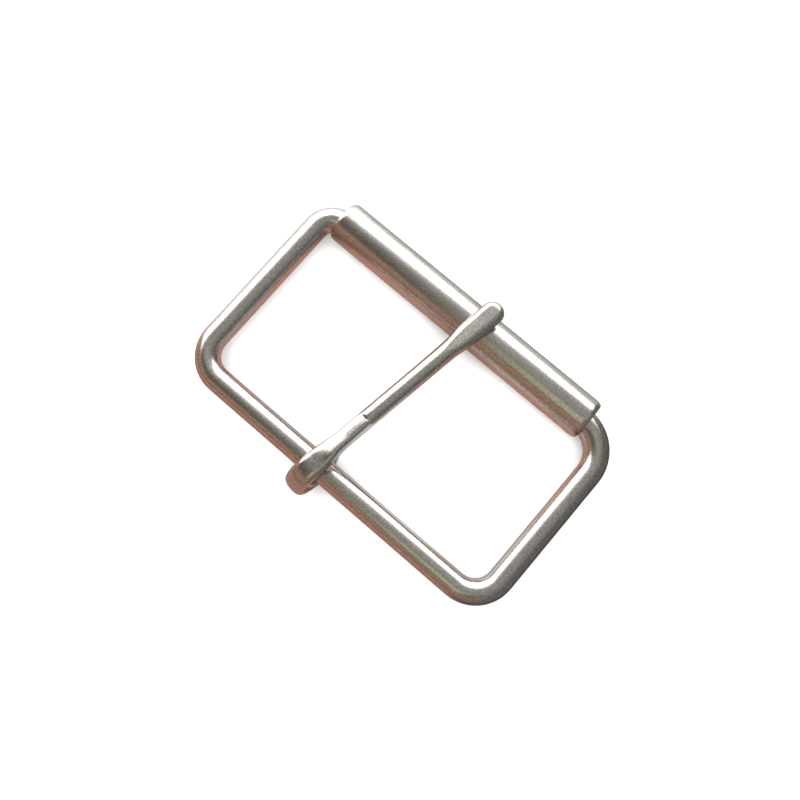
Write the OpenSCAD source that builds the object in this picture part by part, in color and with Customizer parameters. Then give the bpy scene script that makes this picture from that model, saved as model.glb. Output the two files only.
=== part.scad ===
// Roller buckle for a 50 mm strap: a bent wire frame, a loose tube roller on one long bar,
// and a wire prong whose eye turns on the other long bar and whose tip rests over the roller.
// X runs along both long bars, Y from the plain bar to the roller, Z up from the surface it lies on.

/* [Frame] */
// Diameter of the frame's wire
wire_d = 3.8; // [3.2:0.1:4.4]
// Clear width between the side bars, which is the strap's width
inner_w = 50; // [38:1:60]
// Clear depth between the plain bar and the roller's bar
inner_d = 25.9; // [23:0.1:34]
// Bend radius of the wire's centre at the plain bar's ends
plain_bend_r = 4.6; // [4:0.1:5.4]
// Bend radius of the wire's centre at the roller bar's left end
left_bend_r = 3.1; // [3:0.1:4.8]
// Bend radius of the wire's centre at the roller bar's right end
right_bend_r = 5.6; // [3:0.1:6]

/* [Roller] */
// Wall of the roller's tube
roller_wall = 0.5; // [0.4:0.05:0.8]
// Radial play of the roller on its bar
roller_play = 0.8; // [0.6:0.05:1]
// How far the loose roller sits outward of its bar's centre
roller_lean = 0.4; // [0:0.05:0.4]
// How far the roller can slide along its bar from the left bend to the right one
roller_slide = 0.3; // [0.1:0.1:3]
// Gap left between the roller's end and the bend that it has slid to
roller_end_gap = 0.2; // [0.1:0.05:0.5]
// Rounding of the roller's outer rims
rim_r = 0.35; // [0.2:0.05:0.38]

/* [Prong] */
// Diameter of the prong's wire
prong_d = 2.75; // [2.3:0.05:3.1]
// Place of the prong along the plain bar, from the buckle's middle line
prong_x = -3.05; // [-5:0.05:5]
// Angle that the loose prong lies off square to the plain bar, in degrees
prong_skew = 8.8; // [0:0.1:10]
// Width of the flattened band that is curled into the eye
band_w = 3.5; // [3:0.1:4]
// Thickness of that band
band_t = 1.8; // [1.4:0.1:2]
// Rounding of the band's long edges
band_edge_r = 0.6; // [0.3:0.05:0.65]
// Radial play of the eye on the plain bar
eye_play = 0.9; // [0.85:0.05:1.2]
// How far the eye's centre sits outward of the plain bar's centre
eye_back = 0.45; // [0:0.05:0.5]
// How far the eye's centre sits above the plain bar's centre
eye_up = 0.5; // [0:0.05:0.5]
// Gap between the curl's end and the underside of the neck
curl_gap = 0.2; // [0.1:0.05:0.5]
// Width of the pressed neck at its narrowest
neck_w = 2.55; // [2.2:0.05:2.9]
// Thickness of the pressed neck
neck_t = 2.2; // [1.9:0.05:2.3]
// Distance of the neck's narrowest place from the plain bar's centre
neck_at = 5; // [4.4:0.1:6]
// Distance of the step where the die ended from the plain bar's centre
step_at = 9.1; // [8:0.1:11]
// Width of the tip's paddle
tip_w = 3.45; // [3:0.05:4.2]
// Thickness of the tip's paddle
tip_t = 1.9; // [1.6:0.05:2.3]
// Length of the paddle, with the stretch in which the shank widens to it
tip_len = 10.2; // [8.5:0.1:12]
// Length of the stretch in which the round shank widens into the paddle
tip_flare = 4.2; // [3:0.1:5]
// How far the tip reaches past the roller's outer side
tip_past = 0.75; // [0.4:0.05:2.5]
// Length of the rounding at the tip's end
tip_round = 1.7; // [1:0.1:2]
// Gap between the tip's underside and the roller's top
tip_gap = 0.15; // [0.1:0.05:0.5]

/* [Hidden] */
$fn = 72;

// The frame, about the centre of the rectangle that the wire's centre follows.
wire_r = wire_d / 2;
half_w = (inner_w + wire_d) / 2;
half_d = (inner_d + wire_d) / 2;

// The roller, in the row's X, and in Y and Z from its bar's centre.
roller_bore_r = wire_r + roller_play;
roller_r = roller_bore_r + roller_wall;
bore_side = roller_bore_r - roller_lean;
// How far from the middle line an end of the roller can go before its bore meets the wire of the bend there.
function reach(bend_r) =
    half_w - bend_r + sqrt(max(0, (bend_r - wire_r) ^ 2 - (bend_r - bore_side + roller_end_gap) ^ 2));
roller_left = -reach(left_bend_r);
roller_len = reach(left_bend_r) + reach(right_bend_r) - roller_slide;

// The prong, along its own length from the plain bar's centre, and up from that centre.
eye_r = wire_r + eye_play;
curl_r = eye_r + band_t;
eye_top = eye_up + eye_r + band_t / 2;
roller_at = (2 * half_d + roller_lean) / cos(prong_skew);
tip_mid = roller_r + tip_gap + tip_t / 2;
tip_end = roller_at + roller_r / cos(prong_skew) + tip_past;
tip_from = tip_end - tip_len;
neck_under = eye_up + eye_r;
curl_end_angle = asin((neck_under - eye_up - curl_gap) / curl_r);
// Length of the small step that the die left.
step_len = 0.25;
// The straight stretch starts this far inside the curl and ends its band's width this far past the bar's centre.
socket = 0.3;
// How far the straight stretch's skin lies inside the band's where the two join.
inset = 0.05;
// Roundness of the sections: 2 is an ellipse, and more is nearer to a rectangle.
band_square = 4;
wire_square = 2;
tip_square = 2.8;
end_square = 2.4;

// The buckle lies on its curl and its roller, so it tips about X until both touch the surface.
eye_y = -half_d - eye_back * cos(prong_skew);
roller_y = half_d + roller_lean;
rest_tilt = asin((roller_r - curl_r) / norm([roller_y - eye_y, eye_up])) + atan2(eye_up, roller_y - eye_y);
rest_up = curl_r - eye_y * sin(rest_tilt) - eye_up * cos(rest_tilt);

// The middle of the whole box in Y, which is the row's origin.
low_y = (eye_y - (curl_r - band_edge_r) * cos(prong_skew)
    - (band_w / 2 - band_edge_r) * sin(prong_skew)) * cos(rest_tilt) - eye_up * sin(rest_tilt) - band_edge_r;
high_y = (-half_d + tip_end * cos(prong_skew) + tip_w / 8 * sin(prong_skew)) * cos(rest_tilt)
    - tip_mid * sin(rest_tilt);
mid_y = (low_y + high_y) / 2;

// A smooth rise from 0 at a to 1 at b.
function rise(a, b, x) = let (t = min(1, max(0, (x - a) / (b - a)))) t * t * (3 - 2 * t);
function mix(a, b, t) = a + (b - a) * t;

// Width, thickness, height and squareness of the prong at a distance s along it.
function end_round(s, p) =
    let (t = max(0, (s - tip_end + tip_round) / tip_round)) (1 - min(1, t) ^ p) ^ (1 / p);
function prong_w(s) =
    mix(mix(mix(band_w - 2 * inset, neck_w, rise(socket, neck_at, s)), prong_d, rise(neck_at, step_at, s)),
        tip_w, rise(tip_from, tip_from + tip_flare, s)) * end_round(s, end_square);
function prong_t(s) =
    mix(mix(mix(band_t - 2 * inset, neck_t, rise(socket, neck_at, s)), prong_d,
        rise(step_at, step_at + step_len, s)),
        tip_t, rise(tip_from, tip_from + tip_flare, s)) * end_round(s, wire_square);
function prong_z(s) = mix(eye_top, tip_mid, rise(-wire_r, tip_from + tip_flare, s));
function squareness(s) =
    mix(mix(band_square, wire_square, rise(step_at, step_at + step_len, s)),
        tip_square, rise(tip_from, tip_from + tip_flare, s));

// Even places from a to b, b left out.
function places(a, b, n) = [for (i = [0:n - 1]) a + (b - a) * i / n];

// Where the prong's sections lie along it, closest where its form changes most.
stations = concat(
    places(-eye_back - socket, socket, 1),
    places(socket, neck_at, 6),
    places(neck_at, step_at, 4),
    places(step_at, step_at + step_len, 2),
    [step_at + step_len],
    places(tip_from, tip_from + tip_flare, 8),
    places(tip_from + tip_flare, tip_end - tip_round, 2),
    [for (i = [0:7]) tip_end - tip_round + tip_round * sin(12 * i)]);

// One section of the prong, a superellipse across its length with this many points.
around = 28;
function section(s) = [for (i = [0:around - 1])
    let (a = 360 * i / around, e = 2 / squareness(s), c = cos(a), d = sin(a))
    [sign(c) * abs(c) ^ e * prong_w(s) / 2, s, prong_z(s) + sign(d) * abs(d) ^ e * prong_t(s) / 2]];

// A solid lofted through rings of points, its two ends flat.
module loft(rings) {
    n = len(rings[0]);
    last = len(rings) - 1;
    polyhedron(
        points = [for (r = rings) each r],
        faces = concat(
            [[for (i = [n - 1:-1:0]) i]],
            [for (k = [0:last - 1], i = [0:n - 1]) let (j = (i + 1) % n)
                each [[k * n + i, k * n + j, (k + 1) * n + j], [k * n + i, (k + 1) * n + j, (k + 1) * n + i]]],
            [[for (i = [0:n - 1]) last * n + i]]));
}

// Lays a piece that is built about the frame's own middle down on the surface.
module at_rest() {
    translate([0, -mid_y, rest_up])
        rotate([rest_tilt, 0, 0])
            children();
}

// A straight stretch of the frame's wire along X or Y, from its middle.
module straight(length, along_x) {
    rotate(along_x ? [0, 90, 0] : [90, 0, 0])
        cylinder(h = length, r = wire_r, center = true);
}

// A quarter bend of the frame's wire, from the bend's centre, starting at an angle.
module bend(radius, from) {
    rotate([0, 0, from])
        rotate_extrude(angle = 90)
            translate([radius, 0])
                circle(r = wire_r);
}

module frame() {
    color([0.72, 0.71, 0.69])
        at_rest()
            union() {
                translate([0, -half_d, 0])
                    straight(2 * (half_w - plain_bend_r), true);
                translate([(left_bend_r - right_bend_r) / 2, half_d, 0])
                    straight(2 * half_w - left_bend_r - right_bend_r, true);
                translate([-half_w, (plain_bend_r - left_bend_r) / 2, 0])
                    straight(2 * half_d - plain_bend_r - left_bend_r, false);
                translate([half_w, (plain_bend_r - right_bend_r) / 2, 0])
                    straight(2 * half_d - plain_bend_r - right_bend_r, false);
                translate([half_w - plain_bend_r, plain_bend_r - half_d, 0])
                    bend(plain_bend_r, -90);
                translate([half_w - right_bend_r, half_d - right_bend_r, 0])
                    bend(right_bend_r, 0);
                translate([left_bend_r - half_w, half_d - left_bend_r, 0])
                    bend(left_bend_r, 90);
                translate([plain_bend_r - half_w, plain_bend_r - half_d, 0])
                    bend(plain_bend_r, 180);
            }
}

// Half section of the roller's wall, its outer rims rounded, its length along Y.
module roller_wall_section() {
    translate([roller_bore_r, 0])
        square([roller_wall - rim_r, roller_len]);
    translate([roller_bore_r, rim_r])
        square([roller_wall, roller_len - 2 * rim_r]);
    for (y = [rim_r, roller_len - rim_r])
        translate([roller_r - rim_r, y])
            circle(r = rim_r);
}

module roller() {
    color([0.68, 0.67, 0.65])
        at_rest()
            translate([roller_left, roller_y, 0])
                rotate([90, 0, 90])
                    rotate_extrude()
                        roller_wall_section();
}

// The band's section across the eye, its long edges rounded.
module band_section() {
    translate([eye_r, -band_w / 2 + band_edge_r])
        square([band_t, band_w - 2 * band_edge_r]);
    translate([eye_r + band_edge_r, -band_w / 2])
        square([band_t - 2 * band_edge_r, band_w]);
    for (x = [eye_r + band_edge_r, curl_r - band_edge_r], y = [-1, 1])
        translate([x, y * (band_w / 2 - band_edge_r)])
            circle(r = band_edge_r);
}

module prong() {
    color([0.74, 0.73, 0.7])
        at_rest()
            translate([prong_x, -half_d, 0])
                rotate([0, 0, -prong_skew])
                    union() {
                        translate([0, -eye_back, eye_up])
                            rotate([90, 0, 90])
                                rotate([0, 0, 90])
                                    rotate_extrude(angle = 270 + curl_end_angle)
                                        band_section();
                        loft([for (s = stations) section(s)]);
                    }
}

frame();
roller();
prong();
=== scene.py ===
"""A roller buckle for a 50 mm strap: a bent frame, a loose tube roller and a prong, all of satin steel."""
import math

import bmesh
import bpy
import numpy as np
from mathutils import Matrix, Vector


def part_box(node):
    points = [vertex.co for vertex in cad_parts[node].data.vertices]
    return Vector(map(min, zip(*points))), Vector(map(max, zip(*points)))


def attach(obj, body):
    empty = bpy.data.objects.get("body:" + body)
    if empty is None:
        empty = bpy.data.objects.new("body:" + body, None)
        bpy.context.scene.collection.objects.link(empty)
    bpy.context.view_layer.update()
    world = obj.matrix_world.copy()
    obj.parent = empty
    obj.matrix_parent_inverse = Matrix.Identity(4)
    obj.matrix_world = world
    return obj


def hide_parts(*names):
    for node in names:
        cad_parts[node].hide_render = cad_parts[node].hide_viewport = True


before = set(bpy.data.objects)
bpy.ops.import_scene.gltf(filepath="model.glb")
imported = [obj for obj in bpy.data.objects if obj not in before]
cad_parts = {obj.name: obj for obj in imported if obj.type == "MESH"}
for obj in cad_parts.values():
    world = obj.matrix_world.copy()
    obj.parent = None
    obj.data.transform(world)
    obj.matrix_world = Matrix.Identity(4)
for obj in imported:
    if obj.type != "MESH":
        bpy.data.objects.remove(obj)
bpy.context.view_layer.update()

MM = 0.001

# The frame's wire, about the middle of the rectangle that its centre follows.
WIRE_R = 1.9 * MM
HALF_W = 26.9 * MM
HALF_D = 14.85 * MM
PLAIN_BEND_R = 4.6 * MM
LEFT_BEND_R = 3.1 * MM
RIGHT_BEND_R = 5.6 * MM

# The roller, which lies loose on its bar, a little outward of the bar's centre and slid against one bend.
ROLLER_LEAN = 0.4 * MM
ROLLER_R = 3.2 * MM
ROLLER_WALL = 0.5 * MM
ROLLER_LEFT = -24.463 * MM
ROLLER_LEN = 46.663 * MM
ROLLER_RIM_ALONG = 0.9 * MM
ROLLER_RIM_DEEP = 0.43 * MM
BORE_RIM = 0.06 * MM

# The prong, along its own length from the plain bar's centre and up from that centre.
PRONG_X = -3.05 * MM
PRONG_SKEW = math.radians(8.8)
PRONG_D = 2.75 * MM
EYE_R = 2.8 * MM
EYE_BACK = 0.45 * MM
EYE_UP = 0.5 * MM
CURL_GAP = 0.2 * MM
BAND_W = 3.5 * MM
BAND_T = 1.8 * MM
NECK_W = 2.55 * MM
NECK_T = 2.2 * MM
NECK_AT = 5 * MM
STEP_AT = 9.1 * MM
STEP_LEN = 0.5 * MM
TIP_W = 3.45 * MM
TIP_T = 1.9 * MM
TIP_DEEP = 2.16 * MM
TIP_LEN = 10.2 * MM
TIP_FLARE = 4.2 * MM
TIP_WEDGE = 7 * MM
TIP_PAST = 0.75 * MM
TIP_ROUND = 1.7 * MM
TIP_GAP = 0.15 * MM

# How flat the pressed sections are: 2 is round, and more is flatter.
ROUND_FLAT = 2
TIP_FLAT = 2.3
BAND_FLAT = 5
NECK_FLAT = 6.5

# The pressed neck's top leans toward -X, most on a brow just past the bar. Each lean comes in over a stretch
# of the prong, given from its start to its end.
NECK_FROM = 0.3 * MM
NECK_END_T = 2.5 * MM
CROWN_ROLL = math.radians(4)
CROWN_STRETCH = (-1.6 * MM, 0.6 * MM)
BROW_ROLL = math.radians(17)
BROW_STRETCH = (0.6 * MM, 2.6 * MM)
NECK_ROLL = math.radians(13.2)
NECK_STRETCH = (3.2 * MM, 6 * MM)

# The neck's -X half leans a little more near the step, past a soft ridge along its middle.
SIDE_LEAN = math.radians(4.5)
SIDE_STRETCH = (3.5 * MM, 6 * MM)
SIDE_RIDGE = 0.1 * MM

# The step is sharp on the +X side and gentle on the -X side of a line along the shank.
GENTLE_STRETCH = (STEP_AT - 1.5 * MM, STEP_AT + 1 * MM)
SHARP_FROM = -1.1 * MM
SHARP_OVER = 0.7 * MM

# The tip's pressed face leans the same way. It starts just before the tip and deepens quickly at first, and
# its brows grow softer toward the end.
TIP_LEAN = math.radians(2.5)
PRESS_LEAD = 0.4 * MM
PRESS_RISE = 0.7
BROW_SHARP = 0.01 * MM
BROW_SOFT = 0.022 * MM

# The curl's end is drawn narrower and toward -X, so it hides under the neck. Its turns count from the crown.
CURL_END_W = 1.9 * MM
CURL_END_SHIFT = -0.45 * MM
CURL_END_TURNS = (math.radians(170), math.radians(290))
CURL_ROUND_TURNS = (math.radians(5), math.radians(75))

EYE_TOP = EYE_UP + EYE_R + BAND_T / 2
CURL_R = EYE_R + BAND_T
TIP_MID = ROLLER_R + TIP_GAP + TIP_T / 2
ROLLER_AT = (2 * HALF_D + ROLLER_LEAN) / math.cos(PRONG_SKEW)
TIP_END = ROLLER_AT + ROLLER_R / math.cos(PRONG_SKEW) + TIP_PAST
TIP_FROM = TIP_END - TIP_LEN

# The buckle lies on its curl and its roller, so it is tipped about X until both touch the floor.
EYE_Y = -HALF_D - EYE_BACK * math.cos(PRONG_SKEW)
ROLLER_Y = HALF_D + ROLLER_LEAN
SPAN = ROLLER_Y - EYE_Y
TILT = math.asin((ROLLER_R - CURL_R) / math.hypot(SPAN, EYE_UP)) + math.atan2(EYE_UP, SPAN)
RISE = CURL_R - EYE_Y * math.sin(TILT) - EYE_UP * math.cos(TILT)
LOW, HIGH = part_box("frame")
MID_Y = (LOW.y + HIGH.y) / 2
AT_REST = Matrix.Translation((0, MID_Y, RISE)) @ Matrix.Rotation(TILT, 4, "X")

# How finely things are divided.
WIRE_SIDES = 96
BEND_STEPS = 28
BAR_STEPS = 12
ROLLER_SIDES = 160
RIM_STEPS = 10
PRONG_SIDES = 72
SECTION_POINTS = 1441
CURL_STEPS = 84

# The shank's rings lie between these places along it, with so many from the last place to each.
SHANK_START = 0.1 * MM
SHANK_RINGS = (
    (STEP_AT, 40),
    (STEP_AT + STEP_LEN, 7),
    (TIP_FROM, 16),
    (TIP_FROM + TIP_FLARE, 36),
    (TIP_END - TIP_ROUND, 12),
)
TIP_ROUND_RINGS = 24
TIP_ROUND_DEGREES = 89

# Points nearer than this are one point.
SAME_POINT = 0.0005 * MM

# The bend at an edge, in radians for each mm between its faces' middles, at which rubbing starts to show and
# at which it shows in full. The middles are taken to be at least a thousandth of a mm apart.
WEAR_BENDS = (1.5, 7)
LEAST_APART = 0.001 * MM


def share(part, whole):
    """How much of the whole a part is, from 0 to 1."""
    return min(1.0, max(0.0, part / whole))


def rise(start, end, place):
    """A smooth rise from 0 at start to 1 at end."""
    t = share(place - start, end - start)
    return t * t * (3 - 2 * t)


def mix(a, b, t):
    return a + (b - a) * t


def next_ring(bm, rim, unbent, length):
    """Extrudes a rim once. The new ring lies on the old one, and its unbent length has grown."""
    grown = bmesh.ops.extrude_edge_only(bm, edges=rim)["geom"]
    verts = [g for g in grown if isinstance(g, bmesh.types.BMVert)]
    new = set(verts)
    for v in verts:
        v[unbent] = v[unbent] + Vector((length, 0, 0))
    edges = [g for g in grown if isinstance(g, bmesh.types.BMEdge) and new.issuperset(g.verts)]
    return verts, edges


def mark_wear(bm):
    """Marks the sharper outward bends of a mesh, which rub bright first."""
    wear = bm.verts.layers.float.new("wear")
    for edge in bm.edges:
        if len(edge.link_faces) != 2:
            continue
        a, b = (face.calc_center_median() for face in edge.link_faces)
        bend = edge.calc_face_angle_signed(0) / max((a - b).length, LEAST_APART) * MM
        for v in edge.verts:
            v[wear] = max(v[wear], rise(*WEAR_BENDS, bend))


def finish_mesh(bm, name, material):
    """Merges what meets, points the faces outwards and makes the object, its place in its mesh."""
    bmesh.ops.remove_doubles(bm, verts=bm.verts[:], dist=SAME_POINT)
    bmesh.ops.recalc_face_normals(bm, faces=bm.faces[:])
    mark_wear(bm)
    bmesh.ops.transform(bm, matrix=AT_REST, verts=bm.verts[:])
    for face in bm.faces:
        face.smooth = True
    mesh = bpy.data.meshes.new(name)
    bm.to_mesh(mesh)
    bm.free()
    mesh.materials.append(material)
    piece = bpy.data.objects.new(name, mesh)
    bpy.context.scene.collection.objects.link(piece)
    return piece


def make_frame(material):
    """One round wire: a ring drawn along each bar and round each bend from the middle of the roller's bar."""
    bm = bmesh.new()
    unbent = bm.verts.layers.float_vector.new("unbent")
    square_to_x = Matrix.Rotation(math.pi / 2, 4, "Y")
    bmesh.ops.create_circle(bm, segments=WIRE_SIDES, radius=WIRE_R, matrix=square_to_x)
    for v in bm.verts:
        v[unbent] = Vector((0, v.co.y, v.co.z))
    bmesh.ops.translate(bm, verts=bm.verts[:], vec=(0, HALF_D, 0))
    rim = bm.edges[:]
    heading = Vector((1, 0, 0))
    corner_radii = (RIGHT_BEND_R, PLAIN_BEND_R, PLAIN_BEND_R, LEFT_BEND_R)
    bars = (
        HALF_W - RIGHT_BEND_R,
        2 * HALF_D - RIGHT_BEND_R - PLAIN_BEND_R,
        2 * (HALF_W - PLAIN_BEND_R),
        2 * HALF_D - LEFT_BEND_R - PLAIN_BEND_R,
        HALF_W - LEFT_BEND_R,
    )
    middle = Vector((0, HALF_D, 0))
    for index, bar in enumerate(bars):
        for _ in range(BAR_STEPS):
            verts, rim = next_ring(bm, rim, unbent, bar / BAR_STEPS)
            bmesh.ops.translate(bm, verts=verts, vec=heading * (bar / BAR_STEPS))
        middle += heading * bar
        if index == len(corner_radii):
            break
        radius = corner_radii[index]
        inward = Vector((heading.y, -heading.x, 0))
        centre = middle + inward * radius
        turn = Matrix.Rotation(-math.pi / 2 / BEND_STEPS, 3, "Z")
        for _ in range(BEND_STEPS):
            verts, rim = next_ring(bm, rim, unbent, radius * math.pi / 2 / BEND_STEPS)
            bmesh.ops.rotate(bm, verts=verts, cent=centre, matrix=turn)
        middle = centre + heading * radius
        heading = inward
    return finish_mesh(bm, "frame_wire", material)


def make_roller(material):
    """A tube turned on its own axis from the section of its wall."""
    left, right = ROLLER_LEFT, ROLLER_LEFT + ROLLER_LEN
    bore_r = ROLLER_R - ROLLER_WALL
    outline = []
    for k in range(RIM_STEPS, -1, -1):
        turn = math.pi / 2 * k / RIM_STEPS
        along = ROLLER_RIM_ALONG * (1 - math.sin(turn))
        outline.append((left + along, ROLLER_R - ROLLER_RIM_DEEP * (1 - math.cos(turn))))
    bm = bmesh.new()
    verts = [bm.verts.new((x, ROLLER_Y, r)) for x, r in outline]
    verts += [bm.verts.new((left + right - x, ROLLER_Y, r)) for x, r in outline[::-1]]
    bore = ((right, BORE_RIM), (right - BORE_RIM, 0), (left + BORE_RIM, 0), (left, BORE_RIM))
    verts += [bm.verts.new((x, ROLLER_Y, bore_r + out)) for x, out in bore]
    edges = [bm.edges.new((a, b)) for a, b in zip(verts, verts[1:] + verts[:1])]
    bmesh.ops.spin(
        bm, geom=verts + edges, cent=(0, ROLLER_Y, 0), axis=(1, 0, 0), angle=2 * math.pi,
        steps=ROLLER_SIDES, use_merge=True, use_normal_flip=False, use_duplicate=False,
    )
    return finish_mesh(bm, "roller_tube", material)


def section(width, thickness, flat):
    """Even places round a wire's section that is pressed flat above and below."""
    turn = np.linspace(0, 2 * math.pi, SECTION_POINTS)
    across = np.sign(np.cos(turn)) * np.abs(np.cos(turn)) ** (2 / flat) * width / 2
    up = np.sin(turn) * thickness / 2
    run = np.concatenate([[0], np.cumsum(np.hypot(np.diff(across), np.diff(up)))])
    at = np.linspace(0, run[-1], PRONG_SIDES, endpoint=False)
    return np.interp(at, run, across), np.interp(at, run, up)


def pressed(across, up, top, bottom, edge):
    """Presses a section flat at its top and bottom heights, with softly rounded brows."""
    up = up - np.logaddexp(0, (up - top) / edge) * edge
    return across, up + np.logaddexp(0, (bottom - up) / edge) * edge


def rolled(across, up, roll):
    """Turns a section about the prong's own axis, its top toward -X."""
    cos, sin = math.cos(roll), math.sin(roll)
    return across * cos - up * sin, across * sin + up * cos


def end_round(place):
    """How much of its full width the tip has left at a place in its round end."""
    t = share(place - TIP_END + TIP_ROUND, TIP_ROUND)
    return math.sqrt(max(0.0, 1 - t * t))


def neck_roll(place):
    """How far the band's top leans: a little on the crown, most just past it, less toward the step."""
    crown = CROWN_ROLL * rise(*CROWN_STRETCH, place)
    brow = mix(crown, BROW_ROLL, rise(*BROW_STRETCH, place))
    return mix(brow, NECK_ROLL, rise(*NECK_STRETCH, place))


def neck_section(place):
    """The flat band behind the step, its top leaning toward -X."""
    neck = rise(NECK_FROM, NECK_AT, place)
    thick = mix(mix(BAND_T, NECK_T, neck), NECK_END_T, rise(NECK_AT, STEP_AT, place))
    across, up = section(mix(BAND_W, NECK_W, neck), thick, mix(BAND_FLAT, NECK_FLAT, neck))
    fall = math.tan(SIDE_LEAN * rise(*SIDE_STRETCH, place))
    over = np.where(up > 0, np.logaddexp(0, -across / SIDE_RIDGE) * SIDE_RIDGE * fall, 0)
    return rolled(across, up - over, neck_roll(place))


def shank_section(place):
    """Round wire, pressed from the tip's start on to a flat that widens toward the end."""
    flare = rise(TIP_FROM, TIP_FROM + TIP_FLARE, place)
    deep = mix(PRONG_D, TIP_DEEP, rise(TIP_FROM, TIP_FROM + TIP_WEDGE, place))
    across, up = section(mix(PRONG_D, TIP_W, flare), deep, mix(ROUND_FLAT, TIP_FLAT, flare))
    across, up = across * end_round(place), up * end_round(place)
    above = share(place - TIP_FROM + PRESS_LEAD, TIP_WEDGE) ** PRESS_RISE
    below = share(place - TIP_FROM + PRESS_LEAD, TIP_FLARE)
    if above > 0:
        top, bottom = mix(PRONG_D / 2, TIP_T / 2, above), -mix(PRONG_D / 2, TIP_T / 2, below)
        lean = TIP_LEAN * above
        across, up = rolled(across, up, -lean)
        across, up = rolled(*pressed(across, up, top, bottom, mix(BROW_SHARP, BROW_SOFT, above)), lean)
    return across, up


def shank_ring(place):
    """The prong's section at a place along it, as (across, along, up)."""
    neck_across, neck_up = neck_section(place)
    round_across, round_up = shank_section(place)
    sharp = rise(STEP_AT, STEP_AT + STEP_LEN, place)
    gentle = rise(*GENTLE_STRETCH, place)
    beside = np.clip((round_across - SHARP_FROM) / SHARP_OVER, 0, 1)
    shank = mix(gentle, sharp, beside * beside * (3 - 2 * beside))
    across = mix(neck_across, round_across, shank)
    up = mix(neck_up, round_up, shank)
    height = mix(EYE_TOP, TIP_MID, rise(-WIRE_R, TIP_FROM + TIP_FLARE, place))
    return across, np.full(PRONG_SIDES, place), up + height


def curl_ring(turn):
    """The band's section in the eye, turned back from its crown."""
    tail = rise(*CURL_END_TURNS, turn)
    flat = mix(BAND_FLAT, TIP_FLAT, rise(*CURL_ROUND_TURNS, turn))
    across, up = section(mix(BAND_W, CURL_END_W, tail), BAND_T, flat)
    place = -EYE_BACK - EYE_R * turn
    across, up = rolled(across + CURL_END_SHIFT * tail, up, neck_roll(place))
    out = EYE_R + BAND_T / 2 + up
    return across, -EYE_BACK - out * math.sin(turn), EYE_UP + out * math.cos(turn)


def shank_places():
    """Where the shank's rings lie, closer together where its shape changes."""
    places = [SHANK_START]
    for end, count in SHANK_RINGS:
        places.extend(np.linspace(places[-1], end, count)[1:])
    turns = np.radians(np.linspace(0, TIP_ROUND_DEGREES, TIP_ROUND_RINGS)[1:])
    places.extend(TIP_END - TIP_ROUND + TIP_ROUND * np.sin(turns))
    return places


def make_prong(material):
    """One length of wire from the end of its curl to the tip, as rings of its changing section."""
    bm = bmesh.new()
    unbent = bm.verts.layers.float_vector.new("unbent")
    bmesh.ops.create_circle(bm, segments=PRONG_SIDES, radius=BAND_W / 2)
    curl_end = math.radians(270) + math.asin((EYE_R - CURL_GAP) / CURL_R)
    turns = [curl_end * (1 - k / CURL_STEPS) for k in range(CURL_STEPS + 1)]
    mid_r = EYE_R + BAND_T / 2
    rings = [(-mid_r * turn - EYE_BACK, curl_ring(turn)) for turn in turns]
    rings += [(place, shank_ring(place)) for place in shank_places()]
    verts = bm.verts[:]
    rim = bm.edges[:]
    for index, (length, (across, along, up)) in enumerate(rings):
        if index:
            verts, rim = next_ring(bm, rim, unbent, 0)
        for k, v in enumerate(verts):
            v.co = (across[k], along[k], up[k])
            v[unbent] = Vector((length, across[k], up[k]))
    bmesh.ops.holes_fill(bm, edges=[e for e in bm.edges if e.is_boundary], sides=0)
    place = Matrix.Translation((PRONG_X, -HALF_D, 0)) @ Matrix.Rotation(-PRONG_SKEW, 4, "Z")
    bmesh.ops.transform(bm, matrix=place, verts=bm.verts[:])
    return finish_mesh(bm, "prong_wire", material)


class Sheet:
    """A sheet of shader nodes, added one by one and joined as they are added."""

    def __init__(self, owner):
        owner.use_nodes = True
        self.nodes = owner.node_tree.nodes
        self.links = owner.node_tree.links

    def add(self, kind, inputs=None, **settings):
        node = self.nodes.new("ShaderNode" + kind)
        for key, value in settings.items():
            setattr(node, key, value)
        for key, value in (inputs or {}).items():
            self.feed(node.inputs[key], value)
        return node

    def feed(self, socket, value):
        if isinstance(value, bpy.types.NodeSocket):
            self.links.new(value, socket)
        else:
            socket.default_value = value

    def math(self, operation, a, b=0.0):
        return self.add("Math", {0: a, 1: b}, operation=operation).outputs[0]

    def fit(self, value, low, high, to_low, to_high, smooth=False):
        """Carries a value from one range to another and holds it there."""
        kind = "SMOOTHSTEP" if smooth else "LINEAR"
        inputs = {"Value": value, "From Min": low, "From Max": high, "To Min": to_low, "To Max": to_high}
        return self.add("MapRange", inputs, interpolation_type=kind).outputs["Result"]

    def soft(self, value, off, on):
        """0 up to where it is off, 1 past where it is on, and smooth between."""
        return self.fit(value, off, on, 0, 1, True)

    def overlap(self, amount, *others):
        """How much several amounts overlap, which is their product."""
        for other in others:
            amount = self.math("MULTIPLY", amount, other)
        return amount

    def noise(self, vector, scale, detail):
        inputs = {"Vector": vector, "Scale": scale, "Detail": detail}
        return self.add("TexNoise", inputs).outputs["Fac"]

    def blend(self, factor, a, b):
        node = self.add("Mix", data_type="RGBA")
        self.feed(node.inputs[0], factor)
        self.feed(node.inputs[6], a)
        self.feed(node.inputs[7], b)
        return node.outputs[2]

    def ramp(self, factor, stops):
        node = self.add("ValToRGB", {"Fac": factor})
        marks = node.color_ramp.elements
        while len(marks) < len(stops):
            marks.new(0.5)
        for mark, (place, colour) in zip(marks, stops):
            mark.position = place
            mark.color = (*colour, 1)
        return node.outputs["Color"]


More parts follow.
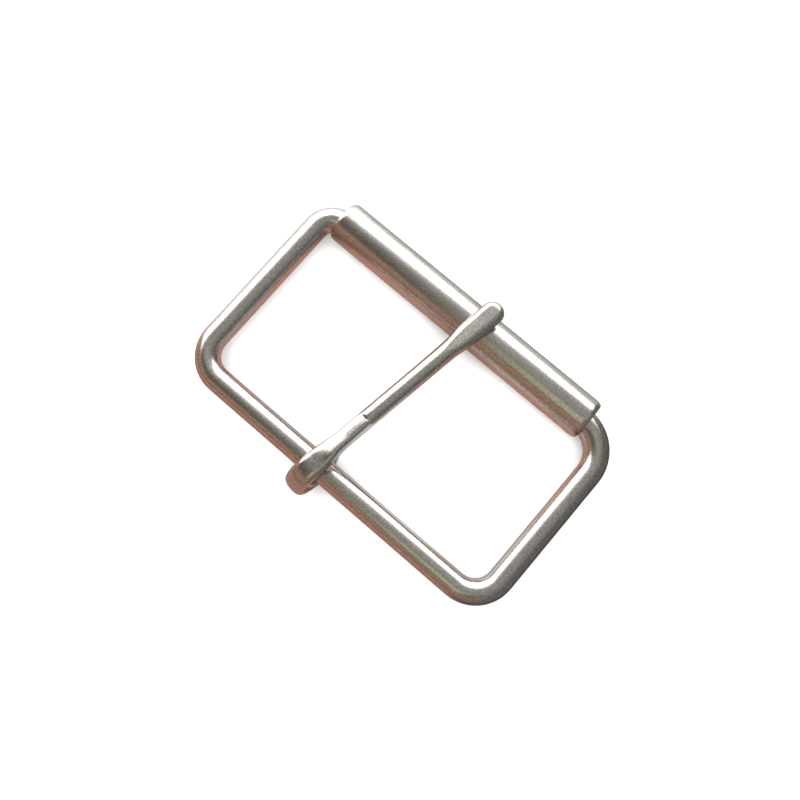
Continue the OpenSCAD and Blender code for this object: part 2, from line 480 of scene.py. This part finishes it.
# Steel: its colours, how often its patterns repeat in a mm, and how deep its bumps go.
STEEL_DEEP = (0.61, 0.59, 0.56, 1)
STEEL_PALE = (0.66, 0.64, 0.61, 1)
STEEL_SPECK = (0.42, 0.405, 0.38, 1)
STEEL_RUBBED = (0.7, 0.68, 0.65, 1)
SPECKLE_PER_MM = 2.8
GRAIN_PER_MM = 4.4
MOTTLE_PER_MM = 0.35
DRAWN_PER_MM = (0.16, 6, 6)
BUMP_DEEP = 0.0012 * MM


def steel(name, seed, along_wire):
    """Satin steel: a fine tumbled speckle over faint draw lines, brighter and smoother where it rubs."""
    material = bpy.data.materials.new(name)
    sheet = Sheet(material)
    if along_wire:
        place = sheet.add("Attribute", attribute_name="unbent").outputs["Vector"]
    else:
        place = sheet.add("TexCoord").outputs["Object"]
    per_mm = (1 / MM, 1 / MM, 1 / MM)
    in_mm = sheet.add("Mapping", {"Vector": place, "Location": (seed, 0, 0), "Scale": per_mm}).outputs[0]
    drawn = sheet.add("Mapping", {"Vector": in_mm, "Scale": DRAWN_PER_MM}).outputs[0]
    speckle = sheet.noise(in_mm, SPECKLE_PER_MM, 1.5)
    grain = sheet.noise(in_mm, GRAIN_PER_MM, 2)
    lines = sheet.noise(drawn, 1, 3)
    mottle = sheet.noise(in_mm, MOTTLE_PER_MM, 2)
    wear = sheet.add("Attribute", attribute_name="wear").outputs["Fac"]
    uneven = sheet.math("ADD", wear, sheet.fit(speckle, 0.3, 0.7, -0.2, 0.2))
    rubbed = sheet.soft(uneven, 0.25, 0.9)

    metal = sheet.blend(sheet.fit(mottle, 0.35, 0.65, 0, 1), STEEL_DEEP, STEEL_PALE)
    metal = sheet.blend(sheet.fit(grain, 0.36, 0.64, 0, 0.8), metal, STEEL_SPECK)
    metal = sheet.blend(rubbed, metal, STEEL_RUBBED)
    dull = sheet.fit(speckle, 0.3, 0.7, 0.185, 0.235)
    dull = sheet.math("ADD", dull, sheet.fit(lines, 0.3, 0.7, -0.012, 0.012))
    dull = sheet.math("ADD", dull, sheet.fit(rubbed, 0, 1, 0, -0.05))
    height = sheet.math("ADD", sheet.math("MULTIPLY", speckle, 0.7), sheet.math("MULTIPLY", lines, 0.25))
    height = sheet.math("ADD", height, sheet.math("MULTIPLY", grain, 0.3))
    bump = sheet.add("Bump", {"Height": height, "Strength": 1.0, "Distance": BUMP_DEEP}).outputs["Normal"]

    shader = sheet.nodes["Principled BSDF"]
    shader.inputs["Metallic"].default_value = 1
    sheet.feed(shader.inputs["Base Color"], metal)
    sheet.feed(shader.inputs["Roughness"], dull)
    sheet.feed(shader.inputs["Normal"], bump)
    return material


# The ground, just under the lowest point of the buckle.
FLOOR_SIZE = 6
FLOOR_Z = -0.01 * MM
FLOOR_ROUGHNESS = 0.9
TABLE_SIZE = 0.8
TABLE_Z = -0.006 * MM
TABLE_ROUGHNESS = 0.4
BACKDROP_R = 0.6

# The paper's colours and the table top's, by where on it they lie.
PAPER_DEEP = (0.465, 0.465, 0.465, 1)
PAPER_PALE = (0.475, 0.475, 0.475, 1)
# The table top's colours are a painted reflection, seen only in the steel: the warm ones a red table's, the
# rest darker and lighter zones by where they lie.
WARM_DEEP = (0.151, 0.079, 0.063, 1)
WARM_PALE = (0.187, 0.098, 0.08, 1)
# Painted reflections: a greyer warm patch inside the right bar, darker warm before the plain bar, greys
# within the frame and past the roller, and a lighter grey past the left bar.
WARM_GREYER = (0.137, 0.11, 0.098, 1)
BEFORE_PLAIN_BAR = (0.128, 0.068, 0.054, 1)
WITHIN_LEFT = (0.122, 0.112, 0.105, 1)
WITHIN_RIGHT = (0.205, 0.208, 0.21, 1)
PAST_ROLLER = (0.098, 0.098, 0.09, 1)
PAST_LEFT_BAR = (0.205, 0.205, 0.197, 1)
# Near black past the right bar: a painted shadow, as if the bar shaded the table there.
PAINTED_SHADOW_PAST_RIGHT_BAR = (0.032, 0.03, 0.027, 1)


def dull_sheet(name, size, height, roughness):
    """A level sheet of ground, with its sheet of nodes, the place on it in mm and its shader."""
    bpy.ops.mesh.primitive_plane_add(size=size, location=(0, 0, height))
    thing = bpy.context.object
    thing.name = name
    material = bpy.data.materials.new(name)
    sheet = Sheet(material)
    place = sheet.add("TexCoord").outputs["Object"]
    in_mm = sheet.add("Mapping", {"Vector": place, "Scale": (1 / MM, 1 / MM, 1 / MM)}).outputs[0]
    shader = sheet.nodes["Principled BSDF"]
    shader.inputs["Roughness"].default_value = roughness
    thing.data.materials.append(material)
    return thing, sheet, in_mm, shader


def make_floor():
    """Pale paper with a faint tooth."""
    _, sheet, in_mm, shader = dull_sheet("floor", FLOOR_SIZE, FLOOR_Z, FLOOR_ROUGHNESS)
    paper = sheet.blend(sheet.noise(in_mm, 0.4, 3), PAPER_DEEP, PAPER_PALE)
    sheet.feed(shader.inputs["Base Color"], paper)


def make_reflection_table():
    """The table top that only the steel mirrors, all its colours a painted reflection: warm, but grey on the
    window's side and toward +X, and near black past the right bar, a painted shadow.
    """
    table, sheet, in_mm, shader = dull_sheet("reflection_table_top", TABLE_SIZE, TABLE_Z, TABLE_ROUGHNESS)
    parts = sheet.add("SeparateXYZ", {0: in_mm}).outputs
    x, y = parts["X"], parts["Y"]
    grain = sheet.noise(in_mm, 0.25, 3)
    warm = sheet.blend(sheet.fit(grain, 0.3, 0.7, 0, 1), WARM_DEEP, WARM_PALE)
    # Zones of painted reflection: darker and lighter bands for the steel to mirror, by where they lie.
    past_roller = sheet.soft(y, 11, 17)
    past_left = sheet.overlap(sheet.soft(x, -26, -30), sheet.soft(y, -13, -3))
    # Painted shadow: the table past the right bar goes near black.
    painted_shadow_past_right = sheet.soft(x, 23, 28)
    within = sheet.overlap(
        sheet.soft(x, -20, -14), sheet.soft(y, 3, -2), sheet.soft(y, -16, -13), sheet.soft(x, 20, 14),
    )
    cool = sheet.blend(sheet.soft(x, -3, 0), WITHIN_LEFT, WITHIN_RIGHT)
    near_right = sheet.overlap(sheet.soft(x, 14, 18), sheet.soft(y, 7, 3))
    warm = sheet.blend(near_right, warm, WARM_GREYER)
    warm = sheet.blend(sheet.soft(y, -15, -19), warm, BEFORE_PLAIN_BAR)
    shade = sheet.blend(within, warm, cool)
    shade = sheet.blend(past_roller, shade, PAST_ROLLER)
    shade = sheet.blend(past_left, shade, PAST_LEFT_BAR)
    shade = sheet.blend(painted_shadow_past_right, shade, PAINTED_SHADOW_PAST_RIGHT_BAR)
    sheet.feed(shader.inputs["Base Color"], shade)
    table.visible_camera = False
    table.visible_diffuse = False
    table.visible_shadow = False


def make_backdrop():
    """A white dome far behind everything, for views from low down."""
    bpy.ops.mesh.primitive_uv_sphere_add(segments=64, ring_count=32, radius=BACKDROP_R)
    dome = bpy.context.object
    dome.name = "backdrop"
    material = bpy.data.materials.new("white_backdrop")
    sheet = Sheet(material)
    shader = sheet.nodes["Principled BSDF"]
    shader.inputs["Base Color"].default_value = (0, 0, 0, 1)
    shader.inputs["Emission Color"].default_value = (1, 1, 1, 1)
    shader.inputs["Emission Strength"].default_value = 1
    dome.data.materials.append(material)
    dome.visible_diffuse = False
    dome.visible_glossy = False
    dome.visible_transmission = False
    dome.visible_shadow = False


# The camera, at the photograph's angle and distance from a point close to the middle of the wire's plane.
PICTURE_PX = 800
FOCAL_PX = 970.6
SENSOR_MM = 36
CAMERA_AZIMUTH = math.radians(40.61)
CAMERA_ELEVATION = math.radians(79.91)
CAMERA_FAR = 140 * MM
CAMERA_TARGET = Vector((-0.37, 0.04, 0)) * MM


def make_camera():
    data = bpy.data.cameras.new("camera")
    camera = bpy.data.objects.new("camera", data)
    bpy.context.scene.collection.objects.link(camera)
    data.sensor_width = SENSOR_MM
    data.lens = FOCAL_PX / PICTURE_PX * SENSOR_MM
    data.clip_start = 1 * MM
    camera.matrix_world = (
        AT_REST @ Matrix.Translation(CAMERA_TARGET) @ Matrix.Rotation(CAMERA_AZIMUTH, 4, "Z")
        @ Matrix.Rotation(math.pi / 2 - CAMERA_ELEVATION, 4, "X") @ Matrix.Translation((0, 0, CAMERA_FAR))
    )
    bpy.context.scene.camera = camera


def soft_light(name, place, size, power):
    """A rectangular light that faces the middle of the ground and isn't seen itself."""
    data = bpy.data.lights.new(name, "AREA")
    data.shape = "RECTANGLE"
    data.size, data.size_y = size
    data.energy = power
    light = bpy.data.objects.new(name, data)
    bpy.context.scene.collection.objects.link(light)
    light.location = place
    light.rotation_euler = (-Vector(place)).to_track_quat("-Z", "Y").to_euler()
    light.visible_camera = False
    return light


# The window, by the direction toward it, and the ceiling's light, which the steel doesn't mirror.
WINDOW_AZIMUTH = math.radians(135)
WINDOW_HEIGHT = math.radians(31)
WINDOW_AIM = Vector((
    math.cos(WINDOW_HEIGHT) * math.cos(WINDOW_AZIMUTH),
    math.cos(WINDOW_HEIGHT) * math.sin(WINDOW_AZIMUTH),
    math.sin(WINDOW_HEIGHT),
))
WINDOW_FAR = 0.6
WINDOW_SIZE = (1.5, 0.6)
WINDOW_POWER = 6.8
WINDOW_GLOW = (1.15, 1.13, 1.09, 1)
CEILING_Z = 1.2
CEILING_SIZE = (2, 2)
CEILING_POWER = 94

# The room's colours beside the window, by how high the mirrored ray points: 0 is level and 1 is straight up.
# The warm end lies toward -X and -Y, and the cool end toward +X and +Y.
WARM_END = (
    (0, (0.4, 0.225, 0.165)),
    (0.26, (0.42, 0.235, 0.17)),
    (0.42, (0.49, 0.3, 0.22)),
    (0.574, (0.46, 0.31, 0.24)),
    (0.68, (0.22, 0.16, 0.125)),
    (0.82, (0.135, 0.115, 0.1)),
    (0.9, (0.18, 0.16, 0.145)),
    (0.966, (0.265, 0.25, 0.235)),
    (1, (0.43, 0.42, 0.395)),
)
COOL_END = (
    (0, (0.155, 0.15, 0.144)),
    (0.57, (0.225, 0.216, 0.205)),
    (0.82, (0.345, 0.335, 0.32)),
    (1, (0.43, 0.42, 0.395)),
)
YELLOW_CARD = (0.7, 0.68, 0.5, 1)


def dim_room(world):
    """What the steel mirrors: the room's cool and warm ends, a yellow card and the window's glow."""
    sheet = Sheet(world)
    heading = sheet.add("TexCoord").outputs["Generated"]
    parts = sheet.add("SeparateXYZ", {0: heading}).outputs
    x, y, up = parts["X"], parts["Y"], parts["Z"]
    warm = sheet.ramp(up, WARM_END)
    cool = sheet.ramp(up, COOL_END)
    flat = sheet.math("SQRT", sheet.math("ADD", sheet.math("MULTIPLY", x, x), sheet.math("MULTIPLY", y, y)))
    toward_cool = sheet.math("DIVIDE", sheet.math("ADD", x, y), sheet.math("MAXIMUM", flat, 0.001))
    room = sheet.blend(sheet.soft(toward_cool, 1, -1), cool, warm)
    card = sheet.overlap(
        sheet.soft(x, -0.16, 0.02), sheet.soft(y, -0.15, -0.3), sheet.soft(up, 0.64, 0.78),
        sheet.soft(up, 0.99, 0.94), sheet.soft(x, 0.3, 0.2),
    )
    room = sheet.blend(card, room, YELLOW_CARD)
    near = sheet.add("VectorMath", {0: heading, 1: WINDOW_AIM}, operation="DOT_PRODUCT").outputs["Value"]
    glow = sheet.math("POWER", sheet.fit(near, 0.55, 0.9, 0, 1), 3)
    room = sheet.blend(glow, room, WINDOW_GLOW)
    sheet.feed(sheet.nodes["Background"].inputs["Color"], room)


def light_scene():
    """A broad soft window toward -X and +Y in a dim warm room."""
    scene = bpy.context.scene
    world = bpy.data.worlds.new("room")
    scene.world = world
    dim_room(world)
    scene.view_settings.view_transform = "Standard"
    soft_light("window", WINDOW_AIM * WINDOW_FAR, WINDOW_SIZE, WINDOW_POWER)
    fill = soft_light("ceiling", (0, 0, CEILING_Z), CEILING_SIZE, CEILING_POWER)
    fill.visible_glossy = False


make_camera()
pieces = {
    "frame": make_frame(steel("frame_steel", 0, True)),
    "roller": make_roller(steel("roller_steel", 40, False)),
    "prong": make_prong(steel("prong_steel", 90, True)),
}
for node, slot_name in (("frame", "frame_wire"), ("roller", "roller_tube"), ("prong", "prong_wire")):
    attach(pieces[node], node)
    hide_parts(node)
make_floor()
make_reflection_table()
make_backdrop()
light_scene()
